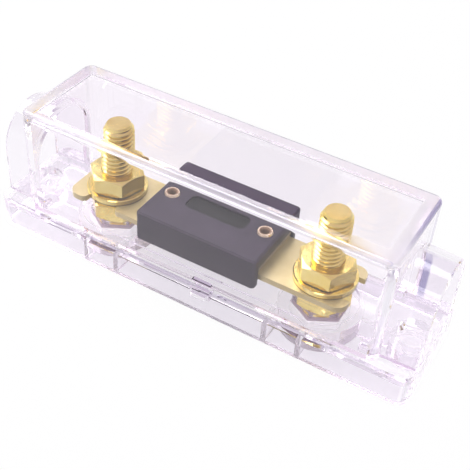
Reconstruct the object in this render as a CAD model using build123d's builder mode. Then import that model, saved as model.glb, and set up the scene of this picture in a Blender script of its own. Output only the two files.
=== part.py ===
from build123d import *
from math import cos, radians, tan
import os

# Clear fuse holder: base, lift-off cover, two threaded studs and a bolt-in strip fuse.
# Millimetres, +Z up, X along the holder, origin in the middle of the underside.

# Studs, nuts and washers, M8 with 13 mm hexagons
stud_spacing = 61.4
thread_diameter = 8.0
thread_pitch_diameter = 7.2
stud_length = 28.0
stud_tip_chamfer = 0.8
head_height = 5.3
head_turn = 30.0
hex_across_flats = 13.0
hex_face_radius = 6.3
hex_chamfer_angle = 30.0
nut_height = 5.0
nut_mouth_chamfer = 0.5
nut_turns = {"left": 15.0, "right": 0.0}
washer_diameter = 16.0
washer_thickness = 1.6
washer_edge = 0.2

# Play between the parts
thread_play = 0.05
washer_play = 0.2
stud_play = 0.15
pocket_play = 0.15
head_sink = 0.3
liner_play = 0.1
rivet_play = 0.1
window_play = 0.05
peg_play = 0.35
catch_play = 0.3

# Fuse strip, with a side slot for the left stud and an end slot for the right one
blade_thickness = 1.6
blade_edge_margin = 0.3
blade_slot_play = 0.5
side_slot_reach = 10.1
end_slot_reach = 8.6
blade_corner = 3.0
slot_mouth_radius = 1.4
link_width = 5.0
link_inset = 3.5
link_fillet = 1.6

# Fuse body, a moulded cap over liners and a bottom plate
fuse_length = 34.2
fuse_corner = 1.0
fuse_edge = 0.45
cap_side_wall = 2.0
blade_side_gap = 0.9
cap_roof = 2.0
bottom_plate_thickness = 1.0
lower_liner_thickness = 1.2
divider_thickness = 0.5
upper_liner_thickness = 2.2
liner_set_back = 0.7
window_end_inset = 1.4
window_width = 5.4
window_corner = 1.8
window_ledge = 0.8
window_thickness = 0.9
window_sink = 0.6
chamber_end_web = 1.9
chamber_width = 11.0
chamber_corner = 1.5
rivet_inset = 3.6
rivet_radius = 1.5
rivet_bore_radius = 1.05
rivet_bore_depth = 3.4
rivet_rim_radius = 2.1
rivet_rim_height = 0.45
rivet_rim_slope = 0.25
rivet_head_height = 0.7

# Base, hollow underneath
base_wall = 1.8
base_corner = 3.2
base_top_edge = 0.5
floor_thickness = 2.0
channel_depth = 1.1
channel_radius = 9.5
seat_height = 1.0
seat_across_flats = 12.6
seat_turn = 30.0
stud_boss_wall = 3.2
rib_thickness = 1.4
rib_inner_offset = 8.6
rib_outer_offset = 0.8
mount_inset = 5.3
mount_hole_radius = 2.25
mount_counterbore_radius = 4.1
mount_counterbore_depth = 3.0
mount_boss_wall = 1.5
peg_size = 2.2
peg_height = 2.4
peg_edge = 0.4

# Cover, with a cable tunnel at each end
side_ledge = 1.15
end_ledge = 9.5
fuse_side_gap = 0.65
stud_to_end_wall = 17.4
cover_wall = 2.5
stud_headroom = 2.7
cover_corner = 2.5
cover_edge = 1.0
ceiling_fillet = 1.0
tunnel_radius = 10.2
tunnel_wall = 1.5
tunnel_draft = 0.45
tunnel_centre_height = 12.3
tunnel_set_back = 0.3
tunnel_rim_edge = 0.35

# Snap catches, one on each long side, half a turn apart
catch_offset = 3.6
catch_width = 5.0
catch_thickness = 1.1
catch_drop = 5.1
catch_nose_height = 1.2
catch_nose_lift = 0.9
catch_slot_width = 4.2
catch_slot_height = 1.4

# Heights from the underside up
pocket_top = head_sink + head_height
channel_floor = pocket_top + floor_thickness
base_height = channel_floor + channel_depth
seat_top = channel_floor + seat_height
blade_bottom = seat_top + nut_height
blade_top = blade_bottom + blade_thickness
upper_nut_bottom = blade_top + washer_thickness
stud_top = pocket_top + stud_length
cover_height = stud_top + stud_headroom + cover_wall - base_height
ceiling = base_height + cover_height - cover_wall
tunnel_centre = base_height + tunnel_centre_height
fuse_bottom = blade_bottom - bottom_plate_thickness
lower_liner_top = blade_top + lower_liner_thickness
divider_top = lower_liner_top + divider_thickness
cap_ceiling = divider_top + upper_liner_thickness
fuse_top = cap_ceiling + cap_roof
window_top = fuse_top - window_sink
window_bottom = window_top - window_thickness

# Sizes in plan
stud_x = stud_spacing / 2
thread_radius = thread_diameter / 2
engaged_radius = thread_pitch_diameter / 2
blade_width = washer_diameter + 2 * blade_edge_margin
fuse_width = blade_width + 2 * (blade_side_gap + cap_side_wall)
cover_inner_width = fuse_width + 2 * fuse_side_gap
cover_inner_length = stud_spacing + 2 * stud_to_end_wall
cover_width = cover_inner_width + 2 * cover_wall
cover_length = cover_inner_length + 2 * cover_wall
base_width = cover_width + 2 * side_ledge
base_length = cover_length + 2 * end_ledge
cavity_width = base_width - 2 * base_wall
cavity_length = base_length - 2 * base_wall
hex_corner_radius = hex_across_flats / 2 / cos(radians(30))
stud_boss_radius = hex_corner_radius + pocket_play + stud_boss_wall
mount_x = base_length / 2 - mount_inset
mount_boss_radius = mount_counterbore_radius + mount_boss_wall
slot_radius = thread_radius + blade_slot_play
liner_width = fuse_width - 2 * cap_side_wall - 2 * liner_play
liner_length = fuse_length - 2 * liner_set_back
rivet_x = fuse_length / 2 - rivet_inset
rivet_hole_radius = rivet_radius + rivet_play
chamber_length = 2 * (rivet_x - rivet_hole_radius - chamber_end_web)
window_length = chamber_length - 2 * window_end_inset
link_length = chamber_length - 2 * link_inset
side_x = {"left": -stud_x, "right": stud_x}
catch_inner_y = cover_inner_width / 2
catch_outer_y = catch_inner_y + catch_thickness
catch_nose_y = cavity_width / 2 - catch_play
catch_bottom = base_height - catch_drop
nose_bottom = catch_bottom + catch_nose_lift
nose_top = nose_bottom + catch_nose_height


def upright(x):
    # Plane along the holder through a point on its centre line, drawn in X and Z
    return Plane((x, 0, 0), x_dir=(1, 0, 0), z_dir=(0, -1, 0))


def hexagon(x, z, height, turn, top_cone=True):
    # Hexagonal prism with its corners cut back by a cone below and, on a nut, above
    reach = hex_corner_radius + 1
    drop = (reach - hex_face_radius) * tan(radians(hex_chamfer_angle))
    top = z + height
    profile = [(0, z), (hex_face_radius, z), (reach, z + drop)]
    profile += [(reach, top - drop), (hex_face_radius, top)] if top_cone else [(reach, top)]
    with BuildPart() as prism:
        with BuildSketch(Plane((x, 0, z))):
            RegularPolygon(hex_across_flats / 2, 6, major_radius=False, rotation=turn)
        extrude(amount=height)
        with BuildSketch(upright(x)):
            with BuildLine():
                Polyline(*profile, (0, top), close=True)
            make_face()
        revolve(axis=Axis((x, 0, 0), (0, 0, 1)), mode=Mode.INTERSECT)
    return prism.part


def arch(x, radius):
    # Tunnel outline across the holder: a half round on two straight legs
    with BuildSketch(Plane.YZ.offset(x)) as outline:
        with Locations((0, tunnel_centre)):
            Circle(radius)
        with Locations((0, base_height)):
            Rectangle(2 * radius, tunnel_centre_height, align=(Align.CENTER, Align.MIN))
        with Locations((0, base_height)):
            Rectangle(4 * radius, 4 * radius, align=(Align.CENTER, Align.MAX), mode=Mode.SUBTRACT)
    return outline.sketch


def save(piece, name):
    piece.label = name
    export_step(piece, "parts/" + name + ".step")


os.makedirs("parts", exist_ok=True)

# Base: tray hollow from below, with stud bosses, screw bosses and ribs left standing
with BuildPart() as base:
    with BuildSketch():
        RectangleRounded(base_length, base_width, base_corner)
    extrude(amount=base_height)
    chamfer(base.faces().sort_by(Axis.Z)[-1].edges(), length=base_top_edge)

    with BuildSketch():
        RectangleRounded(cavity_length, cavity_width, base_corner - base_wall)
        with Locations((-stud_x, 0), (stud_x, 0)):
            Circle(stud_boss_radius, mode=Mode.SUBTRACT)
        with Locations((-mount_x, 0), (mount_x, 0)):
            Circle(mount_boss_radius, mode=Mode.SUBTRACT)
        rib_places = [
            (side * (stud_x + offset), 0)
            for side in (-1, 1)
            for offset in (-rib_inner_offset, rib_outer_offset)
        ]
        with Locations(rib_places):
            Rectangle(rib_thickness, cavity_width, mode=Mode.SUBTRACT)
        with Locations((-(stud_x + mount_x) / 2, 0), ((stud_x + mount_x) / 2, 0)):
            Rectangle(mount_x - stud_x, rib_thickness, mode=Mode.SUBTRACT)
    extrude(amount=pocket_top, mode=Mode.SUBTRACT)

    # Shallow channel in the top for the studs and nuts
    with BuildSketch(Plane.XY.offset(channel_floor)):
        SlotCenterToCenter(stud_spacing, 2 * channel_radius)
    extrude(amount=channel_depth, mode=Mode.SUBTRACT)

    # Raised nut seats, then the head pockets and stud holes
    with BuildSketch(Plane.XY.offset(channel_floor)):
        with Locations((-stud_x, 0), (stud_x, 0)):
            RegularPolygon(seat_across_flats / 2, 6, major_radius=False, rotation=seat_turn)
    extrude(amount=seat_height)
    with BuildSketch():
        with Locations((-stud_x, 0), (stud_x, 0)):
            RegularPolygon(
                hex_across_flats / 2 + pocket_play, 6, major_radius=False, rotation=head_turn
            )
    extrude(amount=pocket_top, mode=Mode.SUBTRACT)
    with BuildSketch():
        with Locations((-stud_x, 0), (stud_x, 0)):
            Circle(thread_radius + stud_play)
    extrude(amount=seat_top, mode=Mode.SUBTRACT)

    # Counterbored screw holes outside the cover
    with Locations((-mount_x, 0, base_height), (mount_x, 0, base_height)):
        CounterBoreHole(mount_hole_radius, mount_counterbore_radius, mount_counterbore_depth)

    # Pegs that fit inside the cover's corners
    peg_reach_x = cover_inner_length - peg_size - 2 * peg_play
    peg_reach_y = cover_inner_width - peg_size - 2 * peg_play
    with BuildSketch(Plane.XY.offset(base_height)):
        with GridLocations(peg_reach_x, peg_reach_y, 2, 2):
            Rectangle(peg_size, peg_size)
    extrude(amount=peg_height)
    chamfer(base.faces().group_by(Axis.Z)[-1].edges(), length=peg_edge)

    # Slots through the deck for the catches, and a window for each nose
    slot_depth = cavity_width / 2 - catch_inner_y + catch_play
    slot_y = cavity_width / 2 - slot_depth / 2
    window_y = (base_width - base_wall) / 2
    window_z = (nose_bottom + nose_top) / 2
    with BuildSketch():
        with Locations((catch_offset, -slot_y), (-catch_offset, slot_y)):
            Rectangle(catch_width + 2 * catch_play, slot_depth)
    extrude(amount=base_height, mode=Mode.SUBTRACT)
    with Locations((catch_offset, -window_y, window_z), (-catch_offset, window_y, window_z)):
        Box(catch_slot_width, 2 * base_wall, catch_slot_height, mode=Mode.SUBTRACT)

# Cover: open box with an arched tunnel at each end and two hanging catches
with BuildPart() as cover:
    with BuildSketch(Plane.XY.offset(base_height)):
        RectangleRounded(cover_length, cover_width, cover_corner)
    extrude(amount=cover_height)
    fillet(cover.faces().sort_by(Axis.Z)[-1].edges(), radius=cover_edge)

    root_x = (cover_length - cover_wall) / 2
    mouth_x = base_length / 2 - tunnel_set_back
    mouth_radius = tunnel_radius - tunnel_draft
    for end in (-1, 1):
        root = arch(end * root_x, tunnel_radius + tunnel_wall)
        loft([root, arch(end * mouth_x, mouth_radius + tunnel_wall)])
    tips = cover.faces().sort_by(Axis.X)
    rims = tips[0].edges().sort_by(Axis.Z)[1:] + tips[-1].edges().sort_by(Axis.Z)[1:]
    chamfer(rims, length=tunnel_rim_edge)

    with BuildSketch(Plane.XY.offset(base_height)):
        Rectangle(cover_inner_length, cover_inner_width)
    extrude(amount=ceiling - base_height, mode=Mode.SUBTRACT)
    fillet(cover.edges().filter_by_position(Axis.Z, ceiling, ceiling), radius=ceiling_fillet)
    for end in (-1, 1):
        root = arch(end * (root_x - cover_wall), tunnel_radius)
        beyond = arch(end * (mouth_x + tunnel_rim_edge), mouth_radius)
        loft([root, beyond], mode=Mode.SUBTRACT)

    for side in (-1, 1):
        plane = Plane((-side * catch_offset, 0, 0), x_dir=(0, side, 0), z_dir=(side, 0, 0))
        with BuildSketch(plane):
            with BuildLine():
                Polyline(
                    (catch_inner_y, catch_bottom),
                    (catch_outer_y, catch_bottom),
                    (catch_nose_y, nose_bottom),
                    (catch_nose_y, nose_top),
                    (catch_outer_y, nose_top + catch_nose_y - catch_outer_y),
                    (catch_outer_y, base_height + cover_wall),
                    (catch_inner_y, base_height + cover_wall),
                    close=True,
                )
            make_face()
        extrude(amount=catch_width / 2, both=True)

# Studs: hexagon bolts pushed up through the base, heads in the pockets.
# Inside a nut the thread is drawn at its pitch diameter, elsewhere at its outer one.
nut_levels = {"lower_nut_": seat_top, "upper_nut_": upper_nut_bottom}
for name, x in side_x.items():
    with BuildPart() as bolt:
        add(hexagon(x, head_sink, head_height, head_turn, top_cone=False))
        with BuildSketch(Plane((x, 0, pocket_top))):
            Circle(thread_radius)
        extrude(amount=stud_length)
        chamfer(bolt.faces().sort_by(Axis.Z)[-1].edges(), length=stud_tip_chamfer)
        for z in nut_levels.values():
            with BuildSketch(Plane((x, 0, z))):
                Circle(thread_radius)
                Circle(engaged_radius, mode=Mode.SUBTRACT)
            extrude(amount=nut_height, mode=Mode.SUBTRACT)
    save(bolt.part, "bolt_" + name)

# Nuts: the lower pair holds the studs, the upper pair clamps lug and fuse
for name, x in side_x.items():
    for level, z in nut_levels.items():
        with BuildPart() as nut:
            add(hexagon(x, z, nut_height, nut_turns[name]))
            with Locations((x, 0, z)):
                Hole(engaged_radius + thread_play)
            bore = nut.faces().filter_by(GeomType.CYLINDER)
            chamfer(bore.edges().sort_by(Axis.Z)[-1], length=nut_mouth_chamfer)
        save(nut.part, level + name)

# Plain washers on top of the strip
for name, x in side_x.items():
    with BuildPart() as washer:
        with BuildSketch(Plane((x, 0, blade_top))):
            Circle(washer_diameter / 2)
            Circle(thread_radius + washer_play, mode=Mode.SUBTRACT)
        extrude(amount=washer_thickness)
        chamfer(washer.faces().sort_by(Axis.Z)[-1].outer_wire().edges(), length=washer_edge)
    save(washer.part, "washer_" + name)

# Fuse strip: two slotted blades joined by a narrow link
with BuildPart() as fuse_blade:
    left_end = -stud_x - side_slot_reach
    right_end = stud_x + end_slot_reach
    half_width = blade_width / 2
    link_cut = (blade_width - link_width) / 2
    with BuildSketch(Plane.XY.offset(blade_bottom)) as strip:
        with Locations((left_end, 0)):
            Rectangle(right_end - left_end, blade_width, align=(Align.MIN, Align.CENTER))
        fillet(strip.vertices(), radius=blade_corner)
        with Locations((-stud_x, 0), (stud_x, 0)):
            Circle(slot_radius, mode=Mode.SUBTRACT)
        with Locations((-stud_x, 0)):
            Rectangle(
                2 * slot_radius, blade_width, align=(Align.CENTER, Align.MAX), mode=Mode.SUBTRACT
            )
        with Locations((stud_x, 0)):
            Rectangle(
                2 * end_slot_reach, 2 * slot_radius, align=(Align.MIN, Align.CENTER), mode=Mode.SUBTRACT
            )
        mouth = strip.vertices().filter_by_position(
            Axis.X, -stud_x - slot_radius, -stud_x + slot_radius
        )
        fillet(mouth.group_by(Axis.Y)[0], radius=slot_mouth_radius)
        with Locations((0, half_width), (0, -half_width)):
            RectangleRounded(link_length, 2 * link_cut, link_fillet, mode=Mode.SUBTRACT)
        with Locations((-rivet_x, 0), (rivet_x, 0)):
            Circle(rivet_hole_radius, mode=Mode.SUBTRACT)
    extrude(amount=blade_thickness)

# Cap: roof and two long side walls, with the viewing window's recess
with BuildPart() as fuse_cap:
    with BuildSketch(Plane.XY.offset(fuse_bottom)):
        RectangleRounded(fuse_length, fuse_width, fuse_corner)
    extrude(amount=fuse_top - fuse_bottom)
    chamfer(fuse_cap.faces().sort_by(Axis.Z)[-1].edges(), length=fuse_edge)
    with BuildSketch(Plane.XY.offset(fuse_bottom)):
        Rectangle(2 * fuse_length, fuse_width - 2 * cap_side_wall)
    extrude(amount=cap_ceiling - fuse_bottom, mode=Mode.SUBTRACT)
    with BuildSketch(Plane.XY.offset(window_bottom)):
        RectangleRounded(window_length, window_width, window_corner)
    extrude(amount=fuse_top - window_bottom, mode=Mode.SUBTRACT)
    with BuildSketch(Plane.XY.offset(cap_ceiling)):
        RectangleRounded(
            window_length - 2 * window_ledge,
            window_width - 2 * window_ledge,
            window_corner - window_ledge,
        )
    extrude(amount=cap_roof, mode=Mode.SUBTRACT)
    with Locations((-rivet_x, 0, fuse_top), (rivet_x, 0, fuse_top)):
        Hole(rivet_hole_radius)

with BuildPart() as fuse_window:
    with BuildSketch(Plane.XY.offset(window_bottom)):
        RectangleRounded(
            window_length - 2 * window_play,
            window_width - 2 * window_play,
            window_corner - window_play,
        )
    extrude(amount=window_thickness)

# Sheets stacked under the cap's roof, open round the link, and the solid bottom plate
sheets = {
    "fuse_lower_liner": (blade_top, lower_liner_thickness),
    "fuse_divider": (lower_liner_top, divider_thickness),
    "fuse_upper_liner": (divider_top, upper_liner_thickness),
    "fuse_bottom_plate": (fuse_bottom, bottom_plate_thickness),
}
for name, (z, thickness) in sheets.items():
    with BuildPart() as sheet:
        with BuildSketch(Plane.XY.offset(z)):
            Rectangle(liner_length, liner_width)
            with Locations((-rivet_x, 0), (rivet_x, 0)):
                Circle(rivet_hole_radius, mode=Mode.SUBTRACT)
            if z > blade_bottom:
                RectangleRounded(chamber_length, chamber_width, chamber_corner, mode=Mode.SUBTRACT)
        extrude(amount=thickness)
    save(sheet.part, name)

# Rivets: solid head below, shank through the stack, hollow end rolled over the cap
for name, x in {"left": -rivet_x, "right": rivet_x}.items():
    with BuildPart() as rivet:
        with BuildSketch(upright(x)):
            with BuildLine():
                Polyline(
                    (rivet_bore_radius, fuse_top),
                    (rivet_bore_radius, fuse_top - rivet_bore_depth),
                    (0, fuse_top - rivet_bore_depth),
                    (0, fuse_bottom - rivet_head_height),
                    (rivet_rim_radius, fuse_bottom - rivet_head_height),
                    (rivet_rim_radius, fuse_bottom),
                    (rivet_radius, fuse_bottom),
                    (rivet_radius, fuse_top),
                    (rivet_rim_radius, fuse_top),
                    (rivet_rim_radius - rivet_rim_slope, fuse_top + rivet_rim_height),
                    (rivet_bore_radius + rivet_rim_slope, fuse_top + rivet_rim_height),
                    close=True,
                )
            make_face()
        revolve(axis=Axis((x, 0, 0), (0, 0, 1)))
    save(rivet.part, "fuse_rivet_" + name)

save(base.part, "base")
save(cover.part, "cover")
save(fuse_blade.part, "fuse_blade")
save(fuse_cap.part, "fuse_cap")
save(fuse_window.part, "fuse_window")
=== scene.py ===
from math import cos, pi, radians, sin

import bmesh
import bpy
from mathutils import Matrix, Vector


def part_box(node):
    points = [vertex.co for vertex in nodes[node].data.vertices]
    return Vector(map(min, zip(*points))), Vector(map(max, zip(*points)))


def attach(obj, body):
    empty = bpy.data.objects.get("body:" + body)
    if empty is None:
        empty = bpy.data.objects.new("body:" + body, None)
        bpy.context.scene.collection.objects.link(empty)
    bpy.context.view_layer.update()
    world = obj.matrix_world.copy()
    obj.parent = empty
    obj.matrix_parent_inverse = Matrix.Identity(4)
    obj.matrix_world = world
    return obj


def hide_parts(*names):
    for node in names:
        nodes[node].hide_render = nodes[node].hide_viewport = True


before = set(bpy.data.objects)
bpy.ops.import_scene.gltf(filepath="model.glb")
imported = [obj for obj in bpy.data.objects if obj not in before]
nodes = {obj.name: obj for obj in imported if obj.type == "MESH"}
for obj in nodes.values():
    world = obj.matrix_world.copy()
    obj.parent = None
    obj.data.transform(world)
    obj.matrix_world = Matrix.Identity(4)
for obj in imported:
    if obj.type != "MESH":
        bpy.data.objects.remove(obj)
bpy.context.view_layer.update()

# Faces that the looks and the studs follow, in metres

endLedge = 0.0095  # how far the base runs on beyond the cover's end walls
headHeight = 0.0053
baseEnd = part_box("base")[1].x
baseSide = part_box("base")[1].y
deck = 0.0087  # top of the base's walls, below its pegs
coverEnd = baseEnd - endLedge
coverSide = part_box("cover")[1].y
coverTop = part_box("cover")[1].z
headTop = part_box("bolt_left")[0].z + headHeight
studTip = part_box("bolt_left")[1].z


class Wire:  # wraps a socket, so that shader sums read as plain Python
    def __init__(self, tree, socket=None):
        self.tree = tree
        self.socket = socket

    def node(self, kind, settings=None, inputs=None, out=0):
        made = self.tree.nodes.new("ShaderNode" + kind)
        for name, value in (settings or {}).items():
            setattr(made, name, value)
        for name, value in (inputs or {}).items():
            if isinstance(value, Wire):
                self.tree.links.new(value.socket, made.inputs[name])
            else:
                made.inputs[name].default_value = value
        return Wire(self.tree, made.outputs[out]) if len(made.outputs) else made

    def calc(self, operation, *values):
        return self.node("Math", {"operation": operation}, dict(enumerate(values)))

    def __add__(self, other):
        return self.calc("ADD", self, other)

    def __sub__(self, other):
        return self.calc("SUBTRACT", self, other)

    def __rsub__(self, other):
        return self.calc("SUBTRACT", other, self)

    def __mul__(self, other):
        return self.calc("MULTIPLY", self, other)

    def __pow__(self, other):
        return self.calc("POWER", self, other)

    def __abs__(self):
        return self.calc("ABSOLUTE", self)

    __radd__ = __add__
    __rmul__ = __mul__

    def most(self, other):
        return self.calc("MAXIMUM", self, other)

    def between(self, start, end):  # smooth step from 0 at start to 1 at end, whichever is larger
        settings = {"interpolation_type": "SMOOTHSTEP"}
        return self.node("MapRange", settings, {0: self, 1: start, 2: end})

    def blend(self, first, second):  # first colour at 0, second at 1
        return self.node("Mix", {"data_type": "RGBA"}, {0: self, 6: first, 7: second}, out=2)

    def noise(self, scale, detail=2.0, rough=0.5, stretch=(1, 1, 1), step=None):
        along = self.node("Mapping", None, {"Vector": self, "Scale": stretch})
        values = {"Vector": along, "Scale": scale, "Detail": detail, "Roughness": rough}
        made = self.node("TexNoise", None, values)
        return made.between(*step) if step else made

    def bump(self, height, strength, distance):
        return self.node("Bump", None, {"Height": height, "Strength": strength, "Distance": distance})

    def parts(self):  # x, y and z of a vector
        made = self.node("SeparateXYZ", None, {0: self}).socket.node
        return [Wire(self.tree, made.outputs[i]) for i in range(3)]


def newMaterial(name):
    material = bpy.data.materials.new(name)
    material.use_nodes = True
    tree = material.node_tree
    tree.nodes.clear()
    start = Wire(tree)
    return material, start, start.node("TexCoord", out="Object")


def finishMaterial(material, start, shader):
    start.node("OutputMaterial", None, {"Surface": shader})
    return material


# Clear plastic. A pair of numbers is where a smooth step starts from 0 and where it reaches 1.

clear = dict(
    tint=(1.0, 0.972, 1.0, 1),
    deepTint=(0.992, 0.955, 0.997, 1),
    backTint=(0.992, 0.984, 0.996, 1),
    topToBack=(0.01, 0.0116),  # along y, where the tint turns into the back wall's
    wallToBack=(0.008, 0.0116),
    cloud=dict(scale=38.0, detail=3.0, step=(0.35, 0.75)),
    flow=dict(scale=55.0, detail=1.0, stretch=(0.35, 1, 1)),
    waves=dict(strength=0.012, distance=0.0004),
    specks=dict(scale=2600.0, detail=1.0, step=(0.7, 0.78)),
    wear=0.04,
    polish=0.008,
    index=1.49,
    trapped=8,  # bounces before light is let out
    sideLine=(-0.00005, 0.00005),  # across the long top edges
    sideFade=0.6,
    fadeShares=(0.2, 0.3),  # of the rounded edge
    endLine=(-0.00005, 0.00015),  # across the end walls' top edges
    endLeast=0.25,
    endRise=(-0.012, 0.004),  # along y
    cornerLine=(-0.00025, -0.00005),  # across the upright corners
    cornerShare=0.5,
    boxBlur=0.0003,
    # painted shade and reflection: colours and shares of the grey-blue lines along the rounded edges
    edgeShadeTint=(0.7, 0.68, 0.79, 1),
    backEdgeShadeTint=(0.45, 0.46, 0.5, 1),
    lineToBack=(-0.006, 0.006),  # along y
    lineShare=0.85,
    lineHaze=0.3,
    lineShade=0.5,
)
frontWall = dict(
    y=(0.00025 - coverSide, 0.00005 - coverSide),
    z=(coverTop - 0.0022, coverTop - 0.0016),
)
coverLook = {
    **clear,
    "box": (coverEnd, coverSide, coverTop),
    "edge": 0.001,
    "corner": 0.00146,
    "wallTint": (0.955, 0.932, 0.967, 1),
    # painted shade: the tunnels beyond the end walls are darkened low down
    "walls": (coverTop - 0.0033, coverTop - 0.0043),
    "tunnelShade": (0.94, 0.915, 0.955, 1),
    # painted shade: a dark violet line along the end walls' top edges and the tunnels' legs
    "violetShade": (0.4, 0.38, 0.57, 1),
    # painted shade: a greyer band along the top of the front wall
    "bandShade": (0.82, 0.785, 0.86, 1),
    "tunnels": dict(wideX=(coverEnd, coverEnd + 0.0004), z=(deck + 0.0008, deck + 0.0018)),
    "topEnd": dict(
        x=(coverEnd - 0.0011, coverEnd - 0.0006),
        y=(-0.012, 0.006),
        z=(coverTop - 0.0009, coverTop - 0.0006),
    ),
    "tunnelLeg": dict(
        x=(coverEnd - 0.0002, coverEnd + 0.0001),
        farX=(coverEnd + 0.002, coverEnd + 0.0015),
        y=(0.0094, 0.0099),
        z=(deck + 0.0005, deck + 0.0033),
    ),
    # painted shade layers, laid under and over the edge lines
    "underShadeLines": [("tunnelShade", ["tunnels"])],
    "overShadeLines": [("violetShade", ["topEnd", "tunnelLeg"]), ("bandShade", ["frontWall"])],
    # the tops of the walls, the lip above the front wall and one corner are slightly cloudy
    "frontWall": frontWall,
    "frontLip": dict(overSide=(0.00012, 0.0002), y=(0.002, -0.002), wideX=(coverEnd + 0.0003, coverEnd)),
    "endWalls": dict(wideX=(coverEnd - 0.0039, coverEnd - 0.0035), z=(coverTop - 0.0012, coverTop - 0.0007)),
    "backWall": dict(
        y=(coverSide - 0.00395, coverSide - 0.00365),
        z=(coverTop - 0.0009, coverTop - 0.0004),
    ),
    "rightCorner": dict(
        x=(coverEnd - 0.013, coverEnd - 0.011),
        y=(0.00495 - coverSide, 0.00395 - coverSide),
        z=(coverTop - 0.0009, coverTop - 0.0004),
    ),
    "cloudy": dict(frontWall=0.22, frontLip=0.5, endWalls=0.6, backWall=0.5, rightCorner=0.5),
}
baseLook = {
    **clear,
    "box": (baseEnd, baseSide, deck),
    "edge": 0.0005,
    "corner": 0.0019,
    "wallTint": (0.947, 0.928, 0.957, 1),
    "backTint": (0.947, 0.928, 0.957, 1),
    "walls": (deck + 0.0013, deck + 0.0003),
    # painted shade: the base's long sides are darkened
    "sideShade": (0.78, 0.73, 0.82, 1),
    "sides": dict(wideY=(baseSide - 0.0003, baseSide - 0.0001)),
    "underShadeLines": [("sideShade", ["sides"])],
    "overShadeLines": [],
    "underside": dict(z=(0.0003, 0.0001)),
    "cloudy": dict(underside=0.5),
}


def mouldingAxes(place, look):
    # what the steps run along; the last three are 0 on the moulding's rounded edges
    x, y, z = place.parts()
    endX, sideY, topZ = look["box"]
    wideX = abs(x)
    wideY = abs(y)
    return dict(
        x=x,
        farX=x,
        y=y,
        z=z,
        wideX=wideX,
        wideY=wideY,
        overSide=wideY + z - (sideY + topZ - look["edge"]),
        overEnd=wideX + z - (endX + topZ - look["edge"]),
        overCorner=wideX + wideY - (endX + sideY - look["corner"]),
    )


def zone(axes, steps):
    # 1 where every step has reached 1
    mask = 1
    for axis, ends in steps.items():
        mask = mask * axes[axis].between(*ends)
    return mask


# lays painted shade over the colour, one layer per entry
def paintShadeLayers(colour, axes, look, layers):
    for tint, spots in look[layers]:
        mask = 0
        for spot in spots:
            mask = zone(axes, look[spot]).most(mask)
        colour = mask.blend(colour, look[tint])
    return colour


def paintedEdgeShade(axes, look):
    # painted shade and reflection: thin grey-blue lines along the moulding's rounded edges, standing in for
    # the light and shade that gather there
    endX, sideY, topZ = look["box"]
    overSide = axes["overSide"]
    fade = overSide.between(*(share * look["edge"] for share in look["fadeShares"]))
    alongSide = overSide.between(*look["sideLine"]) * (1 - look["sideFade"] * fade)
    rise = look["endLeast"] + (1 - look["endLeast"]) * axes["y"].between(*look["endRise"])
    alongEnd = axes["overEnd"].between(*look["endLine"]) * rise
    upright = look["cornerShare"] * axes["overCorner"].between(*look["cornerLine"])
    # the tunnels beyond the end walls and the pegs have no lines
    onBox = zone(axes, dict(wideX=(endX + look["boxBlur"], endX), z=(topZ + look["boxBlur"], topZ)))
    return alongSide.most(alongEnd).most(upright) * onBox


def clearPlastic(name, look):
    material, start, place = newMaterial(name)
    axes = mouldingAxes(place, look)
    y = axes["y"]
    shadedEdges = paintedEdgeShade(axes, look)
    clouded = place.noise(**look["cloud"]).blend(look["tint"], look["deepTint"])
    top = y.between(*look["topToBack"]).blend(clouded, look["backTint"])
    walls = y.between(*look["wallToBack"]).blend(look["wallTint"], look["backTint"])
    colour = axes["z"].between(*look["walls"]).blend(top, walls)
    # painted shade in the cover's tunnels and along the base's sides
    colour = paintShadeLayers(colour, axes, look, "underShadeLines")
    # painted shade and reflection: grey-blue lines along the rounded edges, also made partly metallic below
    edgeShadeColour = y.between(*look["lineToBack"]).blend(look["edgeShadeTint"], look["backEdgeShadeTint"])
    colour = (look["lineShare"] * shadedEdges).blend(colour, edgeShadeColour)
    # painted shade along the end walls' top edges, the tunnels' legs and the front wall's band
    colour = paintShadeLayers(colour, axes, look, "overShadeLines")
    haze = look["lineHaze"] * shadedEdges
    for spot, share in look["cloudy"].items():
        haze = haze.most(share * zone(axes, look[spot]))
    body = start.node("BsdfPrincipled", None, {
        "Base Color": colour,
        "Roughness": look["polish"] + look["wear"] * place.noise(**look["specks"]) + haze,
        "Metallic": look["lineShade"] * shadedEdges,
        "Normal": place.bump(place.noise(**look["flow"]), **look["waves"]),
        "IOR": look["index"],
        "Transmission Weight": 1.0,
    })
    clearWay = start.node("BsdfTransparent", None, {"Color": look["tint"]})
    # lamp light goes straight in, and light caught inside the walls is let out
    caught = start.calc("GREATER_THAN", start.node("LightPath", out="Ray Depth"), look["trapped"])
    straight = start.node("LightPath", out="Is Shadow Ray").most(caught)
    return finishMaterial(material, start, start.node("MixShader", None, {0: straight, 1: body, 2: clearWay}))


# Gold-plated hardware and fuse strip

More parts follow.
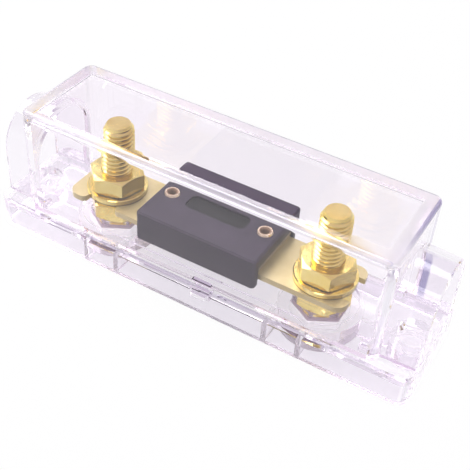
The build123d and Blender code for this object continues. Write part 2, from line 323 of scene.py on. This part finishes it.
gold = dict(
    bright=(1.0, 0.84, 0.3, 1),
    deep=(0.94, 0.73, 0.19, 1),
    blush=dict(scale=240.0, detail=3.0, step=(0.3, 0.75)),
    # painted shade, by the way a face turns and how high it stands
    shade=(0.24, 0.18, 0.07, 1),
    away=(0.8, -0.2, -0.5),  # the way that the shaded faces look
    turned=(0.0, 0.75),
    shadeShare=0.65,
    lowShade=0.35,
    shadeRise=(0.0125, 0.0145),  # along z
    # painted light: the pale colour of the bolt heads
    paintedHeadLight=(0.97, 0.94, 0.97, 1),
    headStart=(0.0002, 0.0006),
    headEnd=(headTop + 0.0004, headTop),
    # painted shadow along the seams between pieces
    seamShadow=(0.1, 0.065, 0.03, 1),
    seamShadowShare=0.85,
    gapStart=(0.00003, 0.00006),
    gapEnd=(0.00045, 0.000225),
    seams=[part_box(piece)[0].z for piece in ("washer_left", "upper_nut_left")],
    metal=1.0,
    polish=0.14,
    wear=0.16,
    grain=dict(scale=3000.0, detail=2.0),
    scuffs=dict(scale=900.0, detail=4.0, step=(0.55, 0.8)),
    stretch=(1, 1, 1),
    scuffDepth=0.5,
    relief=dict(strength=0.25, distance=0.00003),
)
stripLook = {
    **gold,
    "bright": (0.66, 0.57, 0.29, 1),
    "deep": (0.58, 0.49, 0.22, 1),
    "metal": 0.6,
    "polish": 0.32,
    "seams": [],
    "stretch": (1, 9, 1),
}


def goldPlating(name, look):
    material, start, place = newMaterial(name)
    z = place.parts()[2]
    grain = place.noise(**look["grain"], stretch=look["stretch"])
    scuffs = place.noise(**look["scuffs"], stretch=look["stretch"])
    # painted shade: the plating is darkened where a face turns away from the lamps, less so on the lower
    # pieces
    faces = start.node("TexCoord", out="Normal").parts()
    turned = sum(share * face for share, face in zip(look["away"], faces)).between(*look["turned"])
    high = look["lowShade"] + (1 - look["lowShade"]) * z.between(*look["shadeRise"])
    plating = place.noise(**look["blush"]).blend(look["bright"], look["deep"])
    colour = (look["shadeShare"] * turned * high).blend(plating, look["shade"])
    # painted light: the heads deep in the clear moulding are painted pale, as they look from above, and
    # painted shadow darkens the pieces just above each seam
    head = z.between(*look["headStart"]) * z.between(*look["headEnd"])
    colour = head.blend(colour, look["paintedHeadLight"])
    # painted shadow just above each seam between pieces
    for height in look["seams"]:
        rise = z - height
        seamShadow = rise.between(*look["gapStart"]) * rise.between(*look["gapEnd"])
        colour = (look["seamShadowShare"] * seamShadow).blend(colour, look["seamShadow"])
    body = start.node("BsdfPrincipled", None, {
        "Base Color": colour,
        "Metallic": look["metal"] * (1 - head),
        "Roughness": look["polish"] + look["wear"] * scuffs,
        "Normal": place.bump(grain + look["scuffDepth"] * scuffs, **look["relief"]),
    })
    return finishMaterial(material, start, body)


# Dull moulded cap and insulating sheets

capLook = dict(
    colour=(0.024, 0.015, 0.031, 1),
    second=(0.032, 0.021, 0.04, 1),
    cloud=dict(scale=160.0, detail=3.0, step=(0.3, 0.7)),
    grain=dict(scale=5200.0, detail=3.0, rough=0.65),
    relief=dict(strength=0.35, distance=0.00006),
    rough=0.52,
    spread=0.2,
    shine=0.25,
)
beigeLook = dict(
    colour=(0.34, 0.29, 0.2, 1),
    second=(0.26, 0.22, 0.15, 1),
    cloud=dict(scale=420.0, detail=3.0, step=(0.3, 0.7)),
    grain=dict(scale=2600.0, detail=3.0, rough=0.65, stretch=(1, 1, 4)),
    relief=dict(strength=0.5, distance=0.00006),
    rough=0.62,
    spread=0.2,
    shine=0.5,
)
greyLook = {
    **beigeLook,
    "colour": (0.09, 0.08, 0.07, 1),
    "second": (0.07, 0.06, 0.055, 1),
    "rough": 0.6,
}


def dullMaterial(name, look):
    material, start, place = newMaterial(name)
    grain = place.noise(**look["grain"])
    body = start.node("BsdfPrincipled", None, {
        "Base Color": place.noise(**look["cloud"]).blend(look["colour"], look["second"]),
        "Roughness": look["rough"] + look["spread"] * (grain - 0.5),
        "Normal": place.bump(grain, **look["relief"]),
        "Specular IOR Level": look["shine"],
    })
    return finishMaterial(material, start, body)


# Smoked window of the fuse

smoke = dict(
    colour=(0.008, 0.007, 0.009, 1),
    second=(0.004, 0.0035, 0.0045, 1),
    cloud=dict(scale=260.0, detail=2.0, step=(0.35, 0.7)),
    specks=dict(scale=2400.0, detail=1.0, step=(0.66, 0.76)),
    flow=dict(scale=500.0),
    waves=dict(strength=0.08, distance=0.0002),
    rough=0.36,
    wear=0.12,
    index=1.4,
    glass=0.2,
    shine=0.15,
)


def smokedPane(name, look):
    material, start, place = newMaterial(name)
    body = start.node("BsdfPrincipled", None, {
        "Base Color": place.noise(**look["cloud"]).blend(look["colour"], look["second"]),
        "Roughness": look["rough"] + look["wear"] * place.noise(**look["specks"]),
        "Normal": place.bump(place.noise(**look["flow"]), **look["waves"]),
        "IOR": look["index"],
        "Specular IOR Level": look["shine"],
        "Transmission Weight": look["glass"],
    })
    return finishMaterial(material, start, body)


# Copper rivets with a darker bore

rivet = dict(
    rim=(0.7, 0.58, 0.42, 1),
    tarnished=(0.42, 0.3, 0.21, 1),
    bore=(0.28, 0.18, 0.11, 1),
    tarnish=dict(scale=900.0, detail=3.0, step=(0.4, 0.8)),
    boreEdge=(0.0016, 0.0015),
    centreX=sum(corner.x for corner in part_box("fuse_rivet_right")) / 2,
    boreDull=0.6,
    rough=0.26,
    boreRough=0.3,
    tarnishRough=0.1,
    grain=dict(scale=2600.0),
    relief=dict(strength=0.2, distance=0.00004),
)


def rivetCopper(name, look):
    material, start, place = newMaterial(name)
    x, y = place.parts()[:2]
    across = abs(x) - look["centreX"]
    bore = ((across * across + y * y) ** 0.5).between(*look["boreEdge"])
    tarnish = place.noise(**look["tarnish"])
    body = start.node("BsdfPrincipled", None, {
        "Base Color": bore.blend(tarnish.blend(look["rim"], look["tarnished"]), look["bore"]),
        "Metallic": 1 - look["boreDull"] * bore,
        "Roughness": look["rough"] + look["boreRough"] * bore + look["tarnishRough"] * tarnish,
        "Normal": place.bump(place.noise(**look["grain"]), **look["relief"]),
    })
    return finishMaterial(material, start, body)


def dress(node, material):
    for slot in nodes[node].material_slots:
        slot.material = material


goldNuts = goldPlating("goldNuts", gold)
rivetWarm = rivetCopper("rivetWarm", rivet)
capDark = dullMaterial("capDark", capLook)

dress("base", clearPlastic("clearBase", baseLook))
dress("cover", clearPlastic("clearCover", coverLook))
for side in ("left", "right"):
    for piece in ("bolt_", "lower_nut_", "washer_", "upper_nut_"):
        dress(piece + side, goldNuts)
    dress("fuse_rivet_" + side, rivetWarm)
for piece in ("fuse_cap", "fuse_bottom_plate", "fuse_divider"):
    dress(piece, capDark)
dress("fuse_blade", goldPlating("goldStrip", stripLook))
dress("fuse_lower_liner", dullMaterial("linerBeige", beigeLook))
dress("fuse_upper_liner", dullMaterial("linerGrey", greyLook))
dress("fuse_window", smokedPane("windowSmoked", smoke))
print("materials on", len(nodes), "nodes")

# Threaded studs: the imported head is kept, and a real thread takes the shank's place

stud = dict(
    crest=0.004,
    root=0.0034,
    pitch=0.00125,
    steps=48,
    foot=headTop - 0.0002,
    keepBelow=headTop + 0.00005,
    tip=studTip,
    tipChamfer=0.0015,
    tipSlope=0.65,
    headWeld=1e-6,
    threadWeld=2e-6,
    cutWeld=1e-7,
)


def facesFrom(mesh, first):
    mesh.faces.ensure_lookup_table()
    return mesh.faces[first:]


def vertsOf(faces):
    return {v for f in faces for v in f.verts}


def keepHead(mesh, look):
    bmesh.ops.remove_doubles(mesh, verts=mesh.verts, dist=look["headWeld"])
    everything = mesh.verts[:] + mesh.edges[:] + mesh.faces[:]
    cutAt = (0, 0, look["keepBelow"])
    bmesh.ops.bisect_plane(mesh, geom=everything, plane_co=cutAt, plane_no=(0, 0, 1), clear_outer=True)


def sweepThread(mesh, x, y, look):
    # one pitch of the profile, in eighths of the pitch, swept up the axis
    eighth = look["pitch"] / 8
    profile = [
        (look["root"], 0),
        (look["root"], eighth),
        (look["crest"], 3.5 * eighth),
        (look["crest"], 4.5 * eighth),
        (look["root"], 7 * eighth),
        (look["root"], 8 * eighth),
    ]
    turns = int((look["tip"] - look["foot"]) / look["pitch"]) + 2
    corners = [mesh.verts.new((x + r, y, look["foot"] - look["pitch"] + h)) for r, h in profile]
    edges = [mesh.edges.new(pair) for pair in zip(corners, corners[1:])]
    bmesh.ops.spin(
        mesh,
        geom=corners + edges,
        cent=(x, y, 0),
        axis=(0, 0, 1),
        dvec=(0, 0, look["pitch"] / look["steps"]),
        angle=2 * pi * turns,
        steps=look["steps"] * turns,
        use_duplicate=False,
    )


def cutThread(mesh, thread, height, way, look):
    # cuts the thread off level at one end and closes the cut
    edges = {e for f in thread for e in f.edges}
    cut = bmesh.ops.bisect_plane(
        mesh,
        geom=[*vertsOf(thread), *edges, *thread],
        plane_co=(0, 0, height),
        plane_no=(0, 0, way),
        clear_outer=True,
        dist=look["cutWeld"],
    )
    rim = [e for e in cut["geom_cut"] if isinstance(e, bmesh.types.BMEdge)]
    bmesh.ops.contextual_create(mesh, geom=rim)


def coneTip(thread, x, y, look):
    # the tip's cone takes the crests off
    for v in vertsOf(thread):
        allowed = look["crest"] - look["tipSlope"] * max(0, v.co.z - (look["tip"] - look["tipChamfer"]))
        reach = Vector((v.co.x - x, v.co.y - y, 0))
        if reach.length > allowed:
            v.co -= reach.normalized() * (reach.length - allowed)


def addObject(name, mesh, material):
    made = bpy.data.meshes.new(name)
    mesh.to_mesh(made)
    mesh.free()
    made.materials.append(material)
    piece = bpy.data.objects.new(name, made)
    bpy.context.scene.collection.objects.link(piece)
    return piece


def threadedStud(name, look):
    low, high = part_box(name)
    x, y, _ = (low + high) / 2
    mesh = bmesh.new()
    mesh.from_mesh(nodes[name].data)
    keepHead(mesh, look)
    headFaces = len(mesh.faces)
    sweepThread(mesh, x, y, look)
    threadVerts = list(vertsOf(facesFrom(mesh, headFaces)))
    bmesh.ops.remove_doubles(mesh, verts=threadVerts, dist=look["threadWeld"])
    for height, way in ((look["foot"], -1), (look["tip"], 1)):
        cutThread(mesh, facesFrom(mesh, headFaces), height, way, look)
    coneTip(facesFrom(mesh, headFaces), x, y, look)
    bmesh.ops.recalc_face_normals(mesh, faces=mesh.faces)
    piece = addObject(name + "_threaded", mesh, goldNuts)
    for polygon in piece.data.polygons:
        polygon.use_smooth = False
    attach(piece, "holder")
    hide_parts(name)


for side in ("left", "right"):
    threadedStud("bolt_" + side, stud)
print("studs threaded")

# Floor, lamps, world and camera

stage = dict(
    size=3.0,
    drop=0.00005,
    colour=(0.93, 0.92, 0.94, 1),
    second=(0.9114, 0.9016, 0.9212, 1),
    mottle=dict(scale=3.0, detail=2.0),
    glow=0.97,
    glowMetal=0.8,
    glowThrough=0.7,
)


def paleFloor(look):
    material, start, place = newMaterial("paleFloor")
    mottled = place.noise(**look["mottle"]).blend(look["colour"], look["second"])
    matt = start.node("BsdfDiffuse", None, {"Color": mottled})
    bright = start.node("Emission", None, {"Color": (1, 1, 1, 1), "Strength": 1.0})
    seen = look["glow"] * start.node("LightPath", out="Is Camera Ray")
    for kind, share in (("Is Glossy Ray", look["glowMetal"]), ("Is Transmission Ray", look["glowThrough"])):
        seen = seen.most(share * start.node("LightPath", out=kind))
    finishMaterial(material, start, start.node("MixShader", None, {0: seen, 1: matt, 2: bright}))
    mesh = bmesh.new()
    bmesh.ops.create_grid(mesh, x_segments=2, y_segments=2, size=look["size"])
    bmesh.ops.translate(mesh, verts=mesh.verts, vec=(0, 0, -look["drop"]))
    addObject("floor", mesh, material)


paleFloor(stage)

softboxAim = Vector((0, 0, 0.015))
strip = dict(tilt=-48.4, colour=(1, 0.95, 1))
lamps = {
    "leftSoftbox": dict(at=(-0.55, 0.1, 0.6), size=(0.5, 0.5), power=3.4, colour=(1, 0.98, 1)),
    "frontSoftbox": dict(at=(0.1, -0.6, 0.7), size=(0.35, 0.35), power=1.3, colour=(1, 0.99, 1)),
    "topSoftbox": dict(at=(-0.156, 0.3, 0.725), size=(0.35, 0.35), power=2.0, colour=(1, 0.99, 1)),
    # narrow strips whose reflection runs along the front of the cover's top
    "backStrip": dict(strip, at=(-0.223, 0.4096, 0.4156), size=(0.164, 0.0053), power=0.0285),
    "leftStrip": dict(strip, at=(-0.379, 0.4062, 0.4138), size=(0.148, 0.003), power=0.0018),
    "rightStrip": dict(strip, at=(-0.097, 0.4095, 0.414), size=(0.088, 0.0075), power=0.006),
}


def areaLamp(name, look):
    lamp = bpy.data.lights.new(name, "AREA")
    lamp.shape = "RECTANGLE"
    lamp.size, lamp.size_y = look["size"]
    lamp.energy = look["power"]
    lamp.color = look["colour"]
    holder = bpy.data.objects.new(name, lamp)
    holder.location = look["at"]
    if "tilt" in look:
        holder.rotation_euler = (radians(look["tilt"]), 0, 0)
    else:
        holder.rotation_euler = (softboxAim - holder.location).to_track_quat("-Z", "Y").to_euler()
    bpy.context.scene.collection.objects.link(holder)


for name, look in lamps.items():
    areaLamp(name, look)

surround = dict(
    ambient=0.55,
    horizon=(1, 1, 1, 1),
    sky=(0.6, 0.54, 0.65, 1),
    skyRise=(0.12, 0.6),
)


def studioWorld(look):
    world = bpy.data.worlds.new("studio")
    bpy.context.scene.world = world
    world.use_nodes = True
    world.node_tree.nodes.clear()
    start = Wire(world.node_tree)
    height = start.node("TexCoord", out="Generated").parts()[2]
    colour = height.between(*look["skyRise"]).blend(look["horizon"], look["sky"])
    seen = start.node("LightPath", out="Is Camera Ray")
    for kind in ("Is Glossy Ray", "Is Transmission Ray"):
        seen = seen.most(start.node("LightPath", out=kind))
    strength = look["ambient"] + (1 - look["ambient"]) * seen
    background = start.node("Background", None, {"Color": colour, "Strength": strength})
    start.node("OutputWorld", None, {"Surface": background})


studioWorld(surround)

viewpoint = dict(
    azimuth=27.46,
    elevation=40.79,
    roll=4.52,
    away=0.23942,
    right=0.00492,
    up=0.00955,
    lens=69.14,
    sensor=36.0,
    nearest=0.005,
)


def photoCamera(look):
    a, e, r = (radians(look[k]) for k in ("azimuth", "elevation", "roll"))
    back = Vector((sin(a) * cos(e), -cos(a) * cos(e), sin(e)))
    across = Vector((cos(a), sin(a), 0))
    upward = back.cross(across)
    right = across * cos(r) + upward * sin(r)
    up = upward * cos(r) - across * sin(r)
    data = bpy.data.cameras.new("photoCamera")
    data.lens = look["lens"]
    data.sensor_width = look["sensor"]
    data.clip_start = look["nearest"]
    camera = bpy.data.objects.new("photoCamera", data)
    seat = right * look["right"] + up * look["up"] + back * look["away"]
    turn = Matrix((right, up, back)).transposed().to_4x4()
    camera.matrix_world = Matrix.Translation(seat) @ turn
    bpy.context.scene.collection.objects.link(camera)
    bpy.context.scene.camera = camera


photoCamera(viewpoint)
bpy.context.scene.view_settings.view_transform = "Standard"

# light takes many turns through the clear walls
bounces = dict(max_bounces=32, glossy_bounces=24, transmission_bounces=32, transparent_max_bounces=24)
for kind, count in bounces.items():
    setattr(bpy.context.scene.cycles, kind, count)
print("stage, lamps and camera set")
